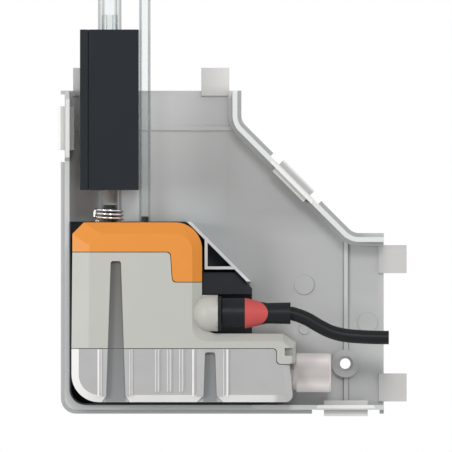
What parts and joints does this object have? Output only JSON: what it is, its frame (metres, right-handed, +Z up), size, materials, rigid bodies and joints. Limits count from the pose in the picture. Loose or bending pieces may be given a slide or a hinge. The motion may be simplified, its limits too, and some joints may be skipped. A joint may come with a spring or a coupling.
{
  "type": "mini condensate pump kit in a trunking elbow",
  "caption": "Small condensate pump with float reservoir, suction and discharge tubes and plug-in lead, set in the back half of a trunking elbow.",
  "frame": {"origin": "where the centre lines of the two elbow arms cross, on the wall face", "axes": "+X along the side arm, +Z up the top arm, +Y into the wall"},
  "size_m": [0.1639, 0.0495, 0.2016],
  "materials": {
    "base_grey": "fine moulded satin",
    "latch_white": "satin",
    "tray_black": "satin",
    "cap_orange": "satin",
    "cover_grey": "satin",
    "tank_clear": "gloss",
    "sleeve_rubber": "matte, milky",
    "seal_rubber": "matte",
    "pump_black": "satin",
    "tube_clear": "gloss",
    "clamp_steel": "polished",
    "fitting_black": "satin",
    "plug_black": "satin",
    "grip_red": "satin",
    "cable_black": "satin",
    "pin_brass": "bright",
    "coil_copper": "enamelled wire",
    "bobbin_white": "satin",
    "steel_plain": "zinc plated",
    "spring_steel": "bright wire",
    "magnet_dark": "sintered",
    "float_cream": "closed-cell foam",
    "board_green": "solder mask",
    "foam_grey": "open foam"
  },
  "bodies": {
    "base": {"elbow_base": "base_grey", "elbow_walls": "base_grey", "elbow_brace": "base_grey", "cradle_tray": "tray_black"},
    "latch_left": {"cover_latch_left": "latch_white"},
    "latch_diagonal": {"cover_latch_diagonal": "latch_white"},
    "latch_bottom": {"cover_latch_bottom": "latch_white"},
    "float": {"float_block": "float_cream", "float_magnet": "magnet_dark"},
    "piston": {"piston": "steel_plain"},
    "inlet_ball": {"inlet_valve_ball": "steel_plain"},
    "outlet_ball": {"outlet_valve_ball": "steel_plain"},
    "plug": {"plug_body": "plug_black", "plug_grip": "grip_red", "plug_contacts": "pin_brass", "power_cable": "cable_black"},
    "pump_unit": {"unit_cap": "cap_orange", "unit_cover": "cover_grey", "reservoir_tank": "tank_clear", "tank_seal": "seal_rubber", "sensor_stem": "bobbin_white", "sensor_board": "board_green", "strainer": "fitting_black", "suction_port": "fitting_black", "vent_spigot": "fitting_black", "inlet_sleeve": "sleeve_rubber", "pump_shell": "pump_black", "pump_side_lid": "pump_black", "pump_circuit_board": "board_green", "pump_pad": "foam_grey", "inlet_body": "fitting_black", "outlet_body": "fitting_black", "inlet_valve_cage": "bobbin_white", "outlet_valve_seat": "bobbin_white", "inlet_valve_spring": "spring_steel", "outlet_valve_spring": "spring_steel", "pump_cylinder": "steel_plain", "return_spring": "spring_steel", "buffer_spring": "spring_steel", "coil_bobbin": "bobbin_white", "coil_winding": "coil_copper", "magnet_yoke": "steel_plain", "lower_damper": "seal_rubber", "upper_damper": "seal_rubber", "suction_tube": "tube_clear", "discharge_tube": "tube_clear", "vent_tube": "tube_clear", "suction_clamp": "clamp_steel", "socket_housing": "fitting_black", "socket_pins": "pin_brass"}
  },
  "joints": [
    {"name": "unit_lift_out", "type": "slide", "parent": "base", "child": "pump_unit", "axis": [0, -1, 0], "range_m": [0, 0.05]},
    {"name": "float_rise", "type": "slide", "parent": "pump_unit", "child": "float", "axis": [0, 0, 1], "range_m": [0, 0.012]},
    {"name": "piston_stroke", "type": "slide", "parent": "pump_unit", "child": "piston", "axis": [0, 0, 1], "range_m": [-0.0025, 0.0025], "stiffness_N_per_m": 900, "deforming": ["return_spring", "buffer_spring"]},
    {"name": "inlet_valve_lift", "type": "slide", "parent": "pump_unit", "child": "inlet_ball", "axis": [0, 0, 1], "range_m": [0, 0.0012], "stiffness_N_per_m": 60, "deforming": ["inlet_valve_spring"]},
    {"name": "outlet_valve_lift", "type": "slide", "parent": "pump_unit", "child": "outlet_ball", "axis": [0, 0, 1], "range_m": [0, 0.0012], "stiffness_N_per_m": 60, "deforming": ["outlet_valve_spring"]},
    {"name": "plug_pull", "type": "slide", "parent": "pump_unit", "child": "plug", "axis": [1, 0, 0], "range_m": [0, 0.012]},
    {"name": "latch_left_flex", "type": "hinge", "parent": "base", "child": "latch_left", "pos_m": [-0.03945, -0.005, 0.0918], "axis": [0, 0, 1], "range_deg": [0, 3], "stiffness_Nm_per_rad": 0.4},
    {"name": "latch_diagonal_flex", "type": "hinge", "parent": "base", "child": "latch_diagonal", "pos_m": [0.06664, -0.005, 0.06664], "axis": [0.7071, 0, -0.7071], "range_deg": [0, 3], "stiffness_Nm_per_rad": 0.4},
    {"name": "latch_bottom_flex", "type": "hinge", "parent": "base", "child": "latch_bottom", "pos_m": [0.0916, -0.005, -0.03945], "axis": [-1, 0, 0], "range_deg": [0, 3], "stiffness_Nm_per_rad": 0.4}
  ]
}
